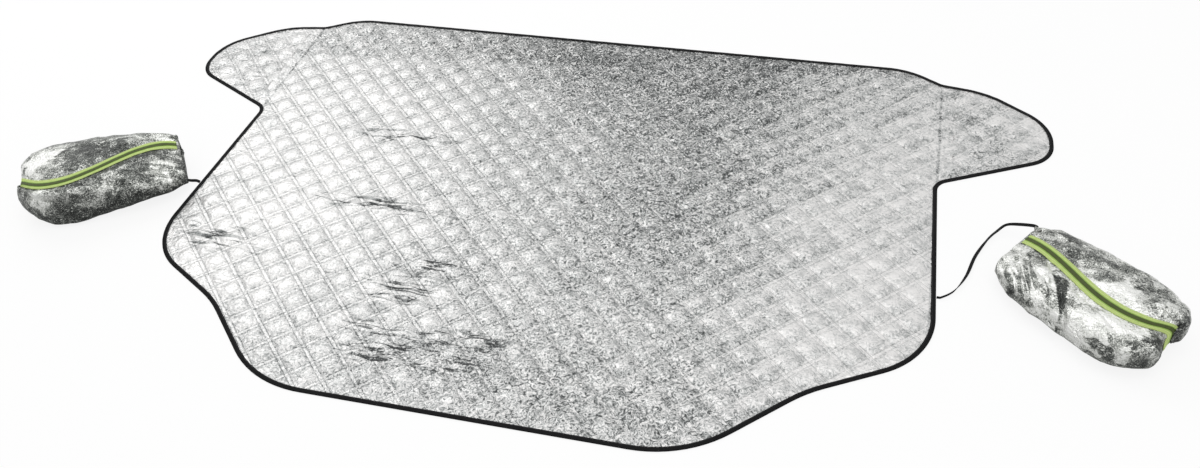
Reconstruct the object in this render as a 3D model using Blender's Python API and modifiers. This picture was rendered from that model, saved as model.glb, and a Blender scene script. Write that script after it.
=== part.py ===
"""Windshield frost cover: a quilted foil panel with two sewn-on door ears, a black edge binding and
two mirror bags on elastic ties, laid out flat on a floor. Metres, +Z up, X across the windshield,
+Y towards the roof edge, origin under the middle of the panel."""

import math

import bmesh
import bpy
from mathutils import Matrix, Vector

# Outline of the cover, half of it, measured from the centre line and the origin
BOTTOM_Y = -0.5635
BOTTOM_CORNER_X = 0.3735
BOTTOM_RADIUS = 0.218
WAIST_X = 0.5423
WAIST_Y = -0.396
WAIST_RADIUS = 0.25
LOW_SIDE_X = 0.7405
LOW_SIDE_Y = -0.282
LOW_SIDE_RADIUS = 0.156
NOTCH_X = 0.7285
NOTCH_Y = 0.1735
NOTCH_RADIUS = 0.03
EAR_TIP_X = 0.9485
EAR_LOW_Y = 0.286
EAR_LOW_RADIUS = 0.075
EAR_TIP_Y = 0.402
EAR_TIP_RADIUS = 0.123
EAR_TOP_X = 0.8185
EAR_TOP_Y = 0.498
EAR_TOP_RADIUS = 0.18
SEAM_X = 0.7275
SEAM_TOP_Y = 0.5115
SEAM_TOP_RADIUS = 0.03
TOP_CORNER_X = 0.6528
TOP_Y = 0.558
TOP_RADIUS = 0.157
ARC_STEP = math.radians(9)

# Quilted laminate
CELL_SIDE = 0.04675
QUILT_ORIGIN = Vector((0.0095, -0.0035, 0))
EAR_QUILT_ORIGIN = Vector((0.815, 0.325, 0))
EAR_QUILT_TURN = math.radians(3)
STITCH_HEIGHT = 0.0025
PUFF_HEIGHT = 0.0042
EDGE_FADE = 0.018
SEAM_VALLEY = 0.012
FIT_GAP = 0.0003
ROOM_HEIGHT = 0.02

# Edge binding, a folded tape over the pressed edge of the laminate
TAPE_WIDTH = 0.0085
TAPE_THICKNESS = 0.0008
PRESSED_EDGE = 0.0012

# Mirror bags, measured from the mouth to the closed end
FOIL_THICKNESS = 0.0012
LOBE_RISE = 0.006
LOBE_LENGTH = 0.010
GATHER_DEPTH = 0.005
GATHER_LENGTH = 0.09
HEM_DEPTH = 0.006
HEM_WIDTH = 0.012
ELASTIC_DIAMETER = 0.0016
BAND_WIDTH = 0.028
BAND_THICKNESS = 0.0008
STRIPE_WIDTH = 0.009
STRIPE_THICKNESS = 0.0004
BAND_START = 0.004
VALLEY_CLEARANCE = 0.001
MOUTH_LAG = 0.86
MOUTH_FLATNESS = 0.35
MOUTH_SLANT = 0.12
END_SPREAD = 0.18
TOP_FULLNESS = 0.45
SIDE_FULLNESS = 0.65
BAG_TURNS = 22
BAG_RINGS = 14

# How each bag lies: the middle of its mouth on the floor, the way its closed end points, the length,
# width and height that the loose cloth takes there, and the four control values of the smooth curve
# that says how far its tape lies off the middle, from the mouth to the closed end
RIGHT_MOUTH = Vector((0.866, -0.0195, 0))
RIGHT_HEADING = math.radians(-41)
RIGHT_LENGTH = 0.302
RIGHT_WIDTH = 0.191
RIGHT_HEIGHT = 0.084
RIGHT_DRIFT = (0.0204, 0.0234, -0.0884, 0.0203)
LEFT_MOUTH = Vector((-0.779, -0.065, 0))
LEFT_HEADING = math.radians(209)
LEFT_LENGTH = 0.31
LEFT_WIDTH = 0.196
LEFT_HEIGHT = 0.098
LEFT_DRIFT = (-0.03, -0.05, 0.16, 0.017)

# Elastic ties: where each leaves the binding, its way over the floor and its end at the mouth's hem
TIE_WIDTH = 0.006
TIE_SPACING = 0.014
RIGHT_TIE_Y = -0.138
RIGHT_TIE_WAY = ((0.766, -0.117, 0), (0.786, -0.075, 0), (0.801, -0.02, 0), (0.822, 0.028, 0.001),
                 (0.8385, 0.0485, 0.004), (0.856, 0.064, 0.013), (0.876, 0.056, 0.023))
RIGHT_TIE_END = 0.037
LEFT_TIE_Y = -0.090
LEFT_TIE_WAY = ()
LEFT_TIE_END = 0.022
TIE_END_INSET = 0.004

BINDING_HEIGHT = PRESSED_EDGE + 2 * (TAPE_THICKNESS + FIT_GAP)
EDGE_INSET = TAPE_WIDTH + FIT_GAP


def new_collection(name):
    made = bpy.data.collections.new(name)
    bpy.context.scene.collection.children.link(made)
    return made


def clear_scene():
    for thing in list(bpy.data.objects):
        bpy.data.objects.remove(thing)


def material(name, colour, roughness, metallic):
    made = bpy.data.materials.new(name)
    made.use_nodes = True
    shader = made.node_tree.nodes["Principled BSDF"]
    shader.inputs["Base Color"].default_value = (*colour, 1)
    shader.inputs["Roughness"].default_value = roughness
    shader.inputs["Metallic"].default_value = metallic
    return made


def place(name, data, look, collection):
    made = bpy.data.objects.new(name, data)
    made.data.materials.append(look)
    collection.objects.link(made)
    return made


def mesh_from(bm, name):
    bmesh.ops.recalc_face_normals(bm, faces=bm.faces)
    mesh = bpy.data.meshes.new(name)
    bm.to_mesh(mesh)
    bm.free()
    return mesh


def cutter(name, mesh, collection):
    made = bpy.data.objects.new(name, mesh)
    made.hide_render = True
    made.display_type = "WIRE"
    collection.objects.link(made)
    return made


def boolean(target, operation, other):
    made = target.modifiers.new(f"{operation.lower()} {other.name}", "BOOLEAN")
    made.operation = operation
    made.object = other


def rounded(corners):
    """Points of a closed polygon whose corners (x, y, radius) are arcs, counterclockwise."""
    points = []
    for i, (x, y, radius) in enumerate(corners):
        here = Vector((x, y))
        before = Vector(corners[i - 1][:2]) - here
        after = Vector(corners[(i + 1) % len(corners)][:2]) - here
        turn = math.pi - before.angle(after)
        reach = min(radius * math.tan(turn / 2), 0.49 * before.length, 0.49 * after.length)
        start = here + before.normalized() * reach
        end = here + after.normalized() * reach
        steps = max(2, round(turn / ARC_STEP))
        for k in range(steps + 1):
            t = k / steps
            # a rational quadratic through the tangent points is an exact arc
            weight = math.cos(turn / 2)
            a, b, c = (1 - t) ** 2, 2 * t * (1 - t) * weight, t ** 2
            points.append((start * a + here * b + end * c) / (a + b + c))
    return points


def cover_outline():
    """Outer edge of the binding, counterclockwise from the bottom right corner."""
    half = [
        (BOTTOM_CORNER_X, BOTTOM_Y, BOTTOM_RADIUS),
        (WAIST_X, WAIST_Y, WAIST_RADIUS),
        (LOW_SIDE_X, LOW_SIDE_Y, LOW_SIDE_RADIUS),
        (NOTCH_X, NOTCH_Y, NOTCH_RADIUS),
        (EAR_TIP_X, EAR_LOW_Y, EAR_LOW_RADIUS),
        (EAR_TIP_X, EAR_TIP_Y, EAR_TIP_RADIUS),
        (EAR_TOP_X, EAR_TOP_Y, EAR_TOP_RADIUS),
        (SEAM_X, SEAM_TOP_Y, SEAM_TOP_RADIUS),
        (TOP_CORNER_X, TOP_Y, TOP_RADIUS),
    ]
    return rounded(half + [(-x, y, radius) for x, y, radius in reversed(half)])


def inset(points, distance):
    """The outline moved inwards by a distance, each point along the bisector of its corner."""
    moved = []
    for i, here in enumerate(points):
        along = (here - points[i - 1]).normalized()
        onward = (points[(i + 1) % len(points)] - here).normalized()
        inward = Vector((-along.y - onward.y, along.x + onward.x)).normalized()
        moved.append(here + inward * distance / max(0.5, inward.dot(Vector((-along.y, along.x)))))
    return moved


def loft(name, levels):
    """A solid through closed outlines with the same number of points, given as (points, z)."""
    bm = bmesh.new()
    rings = [[bm.verts.new((p.x, p.y, z)) for p in points] for points, z in levels]
    for low, high in zip(rings, rings[1:]):
        for i in range(len(low)):
            j = (i + 1) % len(low)
            bm.faces.new((low[i], low[j], high[j], high[i]))
    bm.faces.new(rings[0])
    bm.faces.new(rings[-1])
    return mesh_from(bm, name)


def box_mesh(name, low, high):
    bm = bmesh.new()
    bmesh.ops.create_cube(bm, size=1)
    bmesh.ops.scale(bm, verts=bm.verts, vec=high - low)
    bmesh.ops.translate(bm, verts=bm.verts, vec=(low + high) / 2)
    return mesh_from(bm, name)


def quilt_mesh(name, centre, half_x, half_y, turn):
    """A slab with diagonal rows of puffed cells, large enough to be cut to an outline."""
    count = math.ceil((half_x + half_y) / CELL_SIDE) + 2
    bm = bmesh.new()
    bmesh.ops.create_grid(bm, x_segments=2 * count, y_segments=2 * count, size=count * CELL_SIDE)
    bmesh.ops.rotate(bm, verts=bm.verts, matrix=Matrix.Rotation(math.pi / 4 + turn, 3, "Z"))
    spare = []
    for cell in bm.faces:
        middle = cell.calc_center_median()
        if abs(middle.x) > half_x + CELL_SIDE or abs(middle.y) > half_y + CELL_SIDE:
            spare.append(cell)
    bmesh.ops.delete(bm, geom=spare, context="FACES")
    cells = list(bm.faces)
    skirt = bmesh.ops.extrude_edge_only(bm, edges=[e for e in bm.edges if e.is_boundary])["geom"]
    bmesh.ops.translate(bm, verts=[v for v in skirt if isinstance(v, bmesh.types.BMVert)],
                        vec=(0, 0, -4 * STITCH_HEIGHT))
    bmesh.ops.holes_fill(bm, edges=[e for e in bm.edges if e.is_boundary])
    bmesh.ops.poke(bm, faces=cells, offset=PUFF_HEIGHT)
    bmesh.ops.translate(bm, verts=bm.verts, vec=centre + Vector((0, 0, STITCH_HEIGHT)))
    return mesh_from(bm, name)


def laminate(name, quilt, look, parts, cutters):
    """One quilted piece: its slab cut to the outline, lower towards the edge, with the thin pressed
    lip that the binding holds."""
    made = place(name, quilt, look, parts)
    outline = cover_outline()
    crown = STITCH_HEIGHT + PUFF_HEIGHT + FIT_GAP
    rim = inset(outline, EDGE_INSET)
    body = [(rim, 0), (rim, STITCH_HEIGHT - FIT_GAP / 2), (inset(outline, EDGE_INSET + EDGE_FADE), crown)]
    boolean(made, "INTERSECT", cutter(f"{name}_body", loft(f"{name}_body", body), cutters))
    middle = BINDING_HEIGHT / 2
    rim = inset(outline, TAPE_THICKNESS + FIT_GAP)
    lip = [(rim, middle - PRESSED_EDGE / 2), (rim, middle + PRESSED_EDGE / 2)]
    boolean(made, "UNION", cutter(f"{name}_lip", loft(f"{name}_lip", lip), cutters))
    return made


def ear_room(name, side, near, cutters):
    """The box that holds one ear, from its seam outwards."""
    low = Vector((min(side * near, side * (EAR_TIP_X + TAPE_WIDTH)), NOTCH_Y - NOTCH_RADIUS, -ROOM_HEIGHT))
    high = Vector((max(side * near, side * (EAR_TIP_X + TAPE_WIDTH)), TOP_Y, ROOM_HEIGHT))
    return cutter(name, box_mesh(name, low, high), cutters)


def seam_valley(side, cutters):
    """The wedge that presses the quilting down along an ear seam."""
    top = 2 * (PUFF_HEIGHT + STITCH_HEIGHT)
    wedge = [Vector((0, STITCH_HEIGHT)), Vector((SEAM_VALLEY, top)), Vector((-SEAM_VALLEY, top))]
    mesh = loft("seam_valley", [(wedge, 0), (wedge, TOP_Y - NOTCH_Y + 2 * NOTCH_RADIUS)])
    mesh.transform(Matrix.Rotation(math.pi / 2, 4, "X"))
    valley = cutter(f"seam_valley_{side}", mesh, cutters)
    valley.location = (side * SEAM_X, TOP_Y + NOTCH_RADIUS, 0)
    return valley


def quilted_pieces(look, parts, cutters):
    """The panel and its two ears, which meet at a pressed seam."""
    quilt = quilt_mesh("quilted_panel", QUILT_ORIGIN, LOW_SIDE_X, -BOTTOM_Y, 0)
    panel = laminate("quilted_panel", quilt, look, parts, cutters)
    for side, name in ((1, "ear_right"), (-1, "ear_left")):
        valley = seam_valley(side, cutters)
        boolean(panel, "DIFFERENCE", ear_room(f"{name}_side", side, SEAM_X - FIT_GAP / 2, cutters))
        boolean(panel, "DIFFERENCE", valley)
        origin = Vector((side * EAR_QUILT_ORIGIN.x, EAR_QUILT_ORIGIN.y, 0))
        quilt = quilt_mesh(name, origin, EAR_TIP_X - SEAM_X, SEAM_TOP_Y - NOTCH_Y, side * EAR_QUILT_TURN)
        ear = laminate(name, quilt, look, parts, cutters)
        boolean(ear, "INTERSECT", ear_room(f"{name}_room", side, SEAM_X + FIT_GAP / 2, cutters))
        boolean(ear, "DIFFERENCE", valley)


def poly_curve(name, points, cyclic):
    """A curve of straight pieces: flat and unfilled through 2D points, free through 3D ones."""
    curve = bpy.data.curves.new(name, "CURVE")
    flat = len(points[0]) == 2
    curve.dimensions = "2D" if flat else "3D"
    curve.fill_mode = "NONE" if flat else "FULL"
    spline = curve.splines.new("POLY")
    spline.points.add(len(points) - 1)
    for point, where in zip(spline.points, points):
        point.co = (*where, *(0,) * (3 - len(where)), 1)
    spline.use_cyclic_u = cyclic
    return curve


def edge_binding(look, parts, cutters):
    """A tape folded over the edge: its section is a narrow C, swept along the outline."""
    inner = BINDING_HEIGHT - TAPE_THICKNESS
    corners = ((0, 0), (TAPE_WIDTH, 0), (TAPE_WIDTH, TAPE_THICKNESS), (TAPE_THICKNESS, TAPE_THICKNESS),
               (TAPE_THICKNESS, inner), (TAPE_WIDTH, inner), (TAPE_WIDTH, BINDING_HEIGHT),
               (0, BINDING_HEIGHT))
    section = cutter("binding_section", poly_curve("binding_section", corners[::-1], True), cutters)
    path = poly_curve("edge_binding", [tuple(p) for p in cover_outline()], True)
    path.bevel_mode = "OBJECT"
    path.bevel_object = section
    return place("edge_binding", path, look, parts)


def bag_point(lie, around, ring):
    """A point of a bag's outer surface, with its mouth cut at x = 0. around goes round the bag
    lengthwise, from the closed end over the top, and ring across it, from the middle to a side."""
    reach = lie["length"] / (1 + MOUTH_LAG)
    valley = BAND_WIDTH / 2 + VALLEY_CLEARANCE
    beyond = max(0.0, (abs(ring) - 1) / (BAG_RINGS / 2 - 1)) * math.pi / 2
    slim = max(0.0, math.cos(beyond)) ** SIDE_FULLNESS
    lobe = min(1.0, max(0.0, abs(ring) - 1))
    forward, upward = math.cos(around), math.sin(around)
    x = reach * (MOUTH_LAG + forward * slim) + LOBE_LENGTH * lobe * slim * max(0.0, forward) ** 2
    t = min(1.0, max(0.0, x / lie["length"]))
    half_width = lie["width"] / 2 * (1 + END_SPREAD * t ** 2)
    y = valley * min(1.0, abs(ring)) + (half_width - valley) * math.sin(beyond)
    lift = math.copysign(abs(upward) ** TOP_FULLNESS, upward) * slim
    z = lift * (lie["height"] / 2 - LOBE_RISE + LOBE_RISE * lobe)
    pleat = max(0.0, 1 - max(0.0, x) / GATHER_LENGTH) * lobe * slim ** 2
    z += math.copysign(1, upward) * GATHER_DEPTH * pleat * (1 if round(abs(ring)) % 2 else -1)
    z = (z + lie["height"] / 2) * (1 - MOUTH_FLATNESS * (1 - t) ** 2)
    at_mouth, leaving, coming, at_end = lie["drift"]
    drift = (at_mouth * (1 - t) ** 3 + 3 * leaving * t * (1 - t) ** 2
             + 3 * coming * t ** 2 * (1 - t) + at_end * t ** 3)
    here = min(1.0, abs(x / reach - MOUTH_LAG)) ** (1 / SIDE_FULLNESS)
    side = valley + (half_width - valley) * math.sqrt(1 - here ** 2)
    return Vector((x, math.copysign(y, ring) + drift * max(0.0, 1 - (y / side) ** 2), z))


def bag_surface(lie, start, half_width=None):
    """A bag's outer surface, cut off at x = start and open there, with its mouth pulled aslant. With a
    half width it is only the strip along the middle, made that wide."""
    bm = bmesh.new()
    bmesh.ops.create_uvsphere(bm, u_segments=BAG_TURNS, v_segments=BAG_RINGS, radius=1)
    share = 1 if half_width is None else half_width / (BAND_WIDTH / 2 + VALLEY_CLEARANCE)
    stray = []
    for vert in bm.verts:
        around = math.atan2(vert.co.y, vert.co.x)
        ring = math.asin(max(-1, min(1, vert.co.z))) / math.pi * BAG_RINGS
        if half_width is not None and abs(ring) > 1.5:
            stray.append(vert)
            continue
        middle = bag_point(lie, around, 0)
        vert.co = bag_point(lie, around, ring)
        vert.co = middle.lerp(vert.co, share)
    bmesh.ops.delete(bm, geom=stray, context="VERTS")
    bmesh.ops.recalc_face_normals(bm, faces=bm.faces)
    bmesh.ops.bisect_plane(bm, geom=[*bm.verts, *bm.edges, *bm.faces], plane_co=(start, 0, 0),
                           plane_no=(-1, 0, 0), clear_outer=True)
    for vert in bm.verts:
        vert.co.x -= MOUTH_SLANT * vert.co.y * (1 - vert.co.x / lie["length"])
    return bm


def ordered_rim(bm):
    """The vertices round an open surface's edge, one after the other."""
    edges = {e for e in bm.edges if e.is_boundary}
    edge = edges.pop()
    rim = [edge.verts[0], edge.verts[1]]
    while edges:
        edge = next(e for e in rim[-1].link_edges if e in edges)
        edges.remove(edge)
        rim.append(edge.other_vert(rim[-1]))
    return rim[:-1]


def hem_directions(rim):
    """The way into the bag from each point of its mouth, square to the line past both neighbours."""
    middle = sum(rim, Vector()) / len(rim)
    ways = []
    for i, here in enumerate(rim):
        along = rim[(i + 1) % len(rim)] - rim[i - 1]
        way = Vector((0, -along.z, along.y)).normalized()
        ways.append(way if way.dot(middle - here) > 0 else -way)
    return [(ways[i - 1] + way + ways[(i + 1) % len(ways)]).normalized() for i, way in enumerate(ways)]


def turn_hem(bm, rim, inward):
    """Folds the mouth's edge inwards and back, which leaves a channel for the elastic."""
    turned = [bm.verts.new(v.co + way * HEM_DEPTH) for v, way in zip(rim, inward)]
    back = [bm.verts.new(v.co + Vector((HEM_WIDTH, 0, 0))) for v in turned]
    for row, onward in ((rim, turned), (turned, back)):
        for i in range(len(row)):
            j = (i + 1) % len(row)
            bm.faces.new((row[i], row[j], onward[j], onward[i]))
    bmesh.ops.recalc_face_normals(bm, faces=bm.faces)


def sheet_object(name, bm, thickness, outward, gap, look, frame, parts):
    """A thin piece made of an open surface, gap above it, thickened outwards or inwards."""
    mesh = bpy.data.meshes.new(name)
    bm.to_mesh(mesh)
    bm.free()
    made = place(name, mesh, look, parts)
    made.parent = frame
    if gap:
        lift = made.modifiers.new("gap", "DISPLACE")
        lift.mid_level = 0
        lift.strength = gap
    wall = made.modifiers.new("wall", "SOLIDIFY")
    wall.thickness = thickness
    wall.offset = 1 if outward else -1
    return made


def mirror_bag(side, lie, looks, parts):
    """One bag with its tape, the stripe along the tape and the elastic inside the hem."""
    bm = bag_surface(lie, 0)
    frame = bpy.data.objects.new(f"bag_frame_{side}", None)
    frame.location = lie["mouth"] - Vector((0, 0, min(v.co.z for v in bm.verts)))
    frame.rotation_euler.z = lie["heading"]
    parts.objects.link(frame)
    rim = ordered_rim(bm)
    line = [v.co.copy() for v in rim]
    inward = hem_directions(line)
    turn_hem(bm, rim, inward)
    sheet_object(f"mirror_bag_{side}", bm, FOIL_THICKNESS, False, 0, looks["foil"], frame, parts)
    band = bag_surface(lie, BAND_START, BAND_WIDTH / 2)
    sheet_object(f"reflective_band_{side}", band, BAND_THICKNESS, True, FIT_GAP, looks["band"], frame, parts)
    stripe = bag_surface(lie, BAND_START, STRIPE_WIDTH / 2)
    above = BAND_THICKNESS + 2 * FIT_GAP
    sheet_object(f"reflective_stripe_{side}", stripe, STRIPE_THICKNESS, True, above, looks["stripe"],
                 frame, parts)
    ring = [p + way * HEM_DEPTH / 2 + Vector((HEM_WIDTH / 2, 0, 0)) for p, way in zip(line, inward)]
    elastic = poly_curve(f"mouth_elastic_{side}", [tuple(p) for p in ring], True)
    elastic.bevel_depth = ELASTIC_DIAMETER / 2
    elastic.bevel_resolution = 1
    place(f"mouth_elastic_{side}", elastic, looks["elastic"], parts).parent = frame
    return frame, line


def smooth_route(points, spacing):
    """Points along a smooth curve through the route's own points."""
    ends = [2 * points[0] - points[1], *points, 2 * points[-1] - points[-2]]
    line = [points[0]]
    for before, start, end, after in zip(ends, ends[1:], ends[2:], ends[3:]):
        steps = max(1, round((end - start).length / spacing))
        for k in range(1, steps + 1):
            t = k / steps
            bend = (2 * start + (end - before) * t + (2 * before - 5 * start + 4 * end - after) * t ** 2
                    + (3 * start - before - 3 * end + after) * t ** 3)
            line.append(bend / 2)
    return line


def side_x(y):
    """Half the cover's width where its side runs between the lower corner and the notch."""
    t = (y - LOW_SIDE_Y) / (NOTCH_Y - LOW_SIDE_Y)
    return LOW_SIDE_X + (NOTCH_X - LOW_SIDE_X) * t


def tie(name, start, way, bag, end_height, look, parts):
    """An elastic tie, as a plain tube from the binding's edge to the outer corner of a bag's mouth."""
    frame, mouth = bag
    lift = Vector((0, 0, TIE_WIDTH / 2 + FIT_GAP))
    outwards = Vector((math.copysign(TIE_WIDTH, start.x), 0, 0))
    corner = max(mouth, key=lambda p: p.y)
    bpy.context.view_layer.update()
    stops = [frame.matrix_world @ Vector((corner.x - ahead, corner.y - TIE_END_INSET,
                                          end_height - frame.location.z))
             for ahead in (TIE_WIDTH, FIT_GAP)]
    route = [start + lift, start + lift + outwards, *(Vector(p) + lift for p in way), *stops]
    curve = poly_curve(name, [tuple(p) for p in smooth_route(route, TIE_SPACING)], False)
    curve.bevel_depth = TIE_WIDTH / 2
    curve.bevel_resolution = 2
    curve.use_fill_caps = True
    return place(name, curve, look, parts)


def build():
    clear_scene()
    parts = new_collection("Windshield frost cover")
    cutters = new_collection("Cutters")
    foil = material("Foil quilt", (0.62, 0.64, 0.64), 0.32, 0.9)
    black = material("Black binding tape", (0.012, 0.012, 0.014), 0.75, 0.0)
    looks = {
        "foil": material("Crinkled foil", (0.66, 0.67, 0.66), 0.28, 0.9),
        "band": material("Yellow-green tape", (0.42, 0.78, 0.08), 0.5, 0.0),
        "stripe": material("Grey reflective stripe", (0.12, 0.16, 0.10), 0.4, 0.2),
        "elastic": black,
    }
    quilted_pieces(foil, parts, cutters)
    edge_binding(black, parts, cutters)
    right = {"mouth": RIGHT_MOUTH, "heading": RIGHT_HEADING, "length": RIGHT_LENGTH,
             "width": RIGHT_WIDTH, "height": RIGHT_HEIGHT, "drift": RIGHT_DRIFT}
    left = {"mouth": LEFT_MOUTH, "heading": LEFT_HEADING, "length": LEFT_LENGTH,
            "width": LEFT_WIDTH, "height": LEFT_HEIGHT, "drift": LEFT_DRIFT}
    bag = mirror_bag("right", right, looks, parts)
    start = Vector((side_x(RIGHT_TIE_Y) + 2 * FIT_GAP, RIGHT_TIE_Y, 0))
    tie("tie_right", start, RIGHT_TIE_WAY, bag, RIGHT_TIE_END, black, parts)
    bag = mirror_bag("left", left, looks, parts)
    start = Vector((-side_x(LEFT_TIE_Y) - 2 * FIT_GAP, LEFT_TIE_Y, 0))
    tie("tie_left", start, LEFT_TIE_WAY, bag, LEFT_TIE_END, black, parts)


build()
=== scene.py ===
"""Looks of the windshield frost cover: puffed foil quilting, a bound edge, two crumpled mirror bags
with their tapes, and flat elastic ties, on a white floor under soft studio light."""
import math

import bmesh
import bpy
import numpy as np
from mathutils import Matrix, Vector


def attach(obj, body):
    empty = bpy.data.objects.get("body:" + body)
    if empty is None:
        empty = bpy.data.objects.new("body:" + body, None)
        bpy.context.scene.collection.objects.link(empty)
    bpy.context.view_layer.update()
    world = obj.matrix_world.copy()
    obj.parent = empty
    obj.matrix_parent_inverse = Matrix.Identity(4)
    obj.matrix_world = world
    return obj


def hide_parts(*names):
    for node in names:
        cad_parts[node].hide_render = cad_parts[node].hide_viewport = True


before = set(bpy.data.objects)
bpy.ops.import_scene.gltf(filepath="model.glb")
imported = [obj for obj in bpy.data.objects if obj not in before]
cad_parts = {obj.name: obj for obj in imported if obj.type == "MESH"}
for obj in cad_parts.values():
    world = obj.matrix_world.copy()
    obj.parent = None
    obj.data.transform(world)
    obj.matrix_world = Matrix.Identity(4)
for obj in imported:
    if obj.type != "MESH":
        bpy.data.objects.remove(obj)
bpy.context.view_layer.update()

# The cover's outline, half of it: corner x, corner y, radius
HALF_OUTLINE = (
    (0.3735, -0.5635, 0.218),
    (0.5423, -0.396, 0.25),
    (0.7405, -0.282, 0.156),
    (0.7285, 0.1735, 0.03),
    (0.9485, 0.286, 0.075),
    (0.9485, 0.402, 0.123),
    (0.8185, 0.498, 0.18),
    (0.7275, 0.5115, 0.03),
    (0.6528, 0.558, 0.157),
)
ARC_STEP = math.radians(4)  # turn between two points of a rounded corner
SEAM_X = 0.7275
NOTCH_Y = 0.1435

# Quilting
CELL = 0.04675
TWIN_HALF = 0.0036  # half the gap between twin pressed lines
CUTS = (0, 0.077, 0.14, 0.24, 0.37, 0.5, 0.63, 0.76, 0.86, 0.923)  # where the mesh cuts a cell
SIDE_MARGIN = 0.03  # how far the panel's mesh reaches past the seams
REACH_Y = 0.57
EAR_REACH_X = 0.96
STITCH_HEIGHT = 0.0025
PUFF_HEIGHT = 0.0042
LIP_HEIGHT = 0.0022
UNDERSIDE = 0.0004
EDGE_FADE = 0.03
TAPE_WIDTH = 0.0085
TAPE_THICKNESS = 0.0008
TAPE_SOFTNESS = 0.0004
BINDING_HEIGHT = 0.0034
THREAD_PITCH = 0.0038
THREAD_INSET = 0.0066

# Mirror bags
LOBE_RISE = 0.006
LOBE_LENGTH = 0.010
GATHER_DEPTH = 0.005
GATHER_LENGTH = 0.09
HEM_DEPTH = 0.006
HEM_WIDTH = 0.012
BAND_WIDTH = 0.028
VALLEY_CLEARANCE = 0.001
MOUTH_LAG = 0.86
MOUTH_FLATNESS = 0.35
MOUTH_SLANT = 0.12
END_SPREAD = 0.18
TOP_FULLNESS = 0.45
SIDE_FULLNESS = 0.65
BAG_RINGS = 14
BAND_START = 0.004
FOIL_THICKNESS = 0.0009
FOIL_INSET = 0.0012  # how far the foil lies inside the plain form, so that crumples stay near it
FLOOR_GAP = 0.0014
LARGE_FACET = 0.044
SMALL_FACET = 0.019
STRIPE_HALF = 0.0045

# Each bag in its own frame: x from the mouth to the closed end, y across, z up. Creases run from one
# point to another, with a depth and a width. Wedges are triangles, and patches are spots with a middle
# and a size, each with how much lighter or darker it makes the foil: painted reflections and shade.
# Pleats have a direction, a middle, a size, how far apart they are and how clear; in the colour they
# show as painted bright pleats with dark gaps. The painted shade lies beside the tape, on its shaded
# side: where it starts and ends, from 0 at the mouth to 1, its width and its amount. The painted light
# is the foil's brightness before all these.
RIGHT_BAG = {
    "side": "right",
    "mouth": Vector((0.866, -0.0195, 0)),
    "heading": math.radians(-41),
    "length": 0.302,
    "width": 0.191,
    "height": 0.084,
    "drift": (0.0204, 0.0234, -0.0884, 0.0203),
    "creases": (
        ((0.066, 0.0), (0.172, -0.105), 0.0055, 0.004),
        ((0.03, -0.03), (0.11, -0.06), 0.003, 0.004),
        ((0.02, -0.045), (0.1, -0.085), 0.003, 0.004),
        ((0.12, 0.02), (0.2, 0.085), 0.0035, 0.004),
        ((0.2, 0.03), (0.27, 0.09), 0.003, 0.005),
        ((0.15, -0.04), (0.26, -0.075), 0.0025, 0.004),
    ),
    "wedges": (
        ((0.092, -0.03), (0.126, -0.03), (0.177, -0.112), -0.62),
        ((0.062, -0.006), (0.07, -0.004), (0.177, -0.112), 0.5),
        ((0.272, -0.06), (0.31, -0.05), (0.29, -0.085), -0.3),
    ),
    "patches": (
        ((0.06, 0.045), (0.014, 0.022), 0.6), ((0.09, 0.05), (0.028, 0.03), 0.22),
        ((0.145, 0.05), (0.035, 0.022), 0.3), ((0.24, 0.07), (0.022, 0.03), 0.5),
        ((0.262, -0.1), (0.045, 0.022), 0.2), ((0.225, -0.125), (0.035, 0.018), 0.16),
        ((0.305, -0.04), (0.014, 0.03), 0.5), ((0.306, 0.03), (0.014, 0.035), 0.5),
        ((0.205, 0.012), (0.05, 0.022), -0.34), ((0.215, -0.075), (0.05, 0.024), -0.36),
        ((0.19, -0.11), (0.03, 0.012), -0.2), ((0.05, -0.1), (0.03, 0.02), 0.05),
    ),
    "tone": 0.62,
    "broken": 0.8,
    "pleats": ((0.75, -0.66), (0.07, -0.068), (0.06, 0.045), 0.42, 1.0),
    "draw": 0.008,
    "shade": (0.02, 0.4, 0.02, 0.15),
    "cloth": (0.46, 0.33),
    "shaded_side": -1,
    "seed": 3,
}
LEFT_BAG = {
    "side": "left",
    "mouth": Vector((-0.779, -0.065, 0)),
    "heading": math.radians(209),
    "length": 0.31,
    "width": 0.196,
    "height": 0.098,
    "drift": (-0.03, -0.05, 0.16, 0.017),
    "creases": (
        ((0.02, 0.05), (0.13, 0.075), 0.003, 0.005),
        ((0.03, 0.02), (0.1, 0.03), 0.003, 0.004),
        ((0.1, 0.09), (0.26, 0.085), 0.0035, 0.004),
        ((0.12, -0.03), (0.2, -0.06), 0.003, 0.005),
    ),
    "wedges": (
        ((0.008, 0.09), (0.016, 0.105), (0.05, 0.088), 0.35),
        ((0.02, 0.06), (0.03, 0.058), (0.012, 0.11), 0.35),
    ),
    "patches": (
        ((0.19, -0.012), (0.036, 0.026), 0.5), ((0.14, -0.03), (0.04, 0.022), 0.46),
        ((0.165, 0.025), (0.03, 0.012), 0.2), ((0.1, 0.07), (0.03, 0.01), 0.26),
        ((0.115, 0.115), (0.04, 0.018), 0.16), ((0.19, 0.125), (0.03, 0.012), 0.26),
        ((0.272, -0.02), (0.032, 0.034), -0.8), ((0.235, -0.05), (0.022, 0.014), -0.5),
        ((0.252, 0.105), (0.022, 0.026), -0.42), ((0.022, 0.05), (0.02, 0.026), -0.34),
        ((0.03, -0.03), (0.03, 0.02), -0.3), ((0.1, -0.07), (0.05, 0.02), -0.12),
    ),
    "tone": 0.36,
    "broken": 0.5,
    "pleats": ((0.97, -0.24), (0.02, 0.04), (0.06, 0.07), 0.6, 0.45),
    "draw": 0.002,
    "shade": (0.04, 0.86, 0.042, 0.3),
    "cloth": (0.49, 0.34),
    "shaded_side": 1,
    "seed": 8,
}

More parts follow.
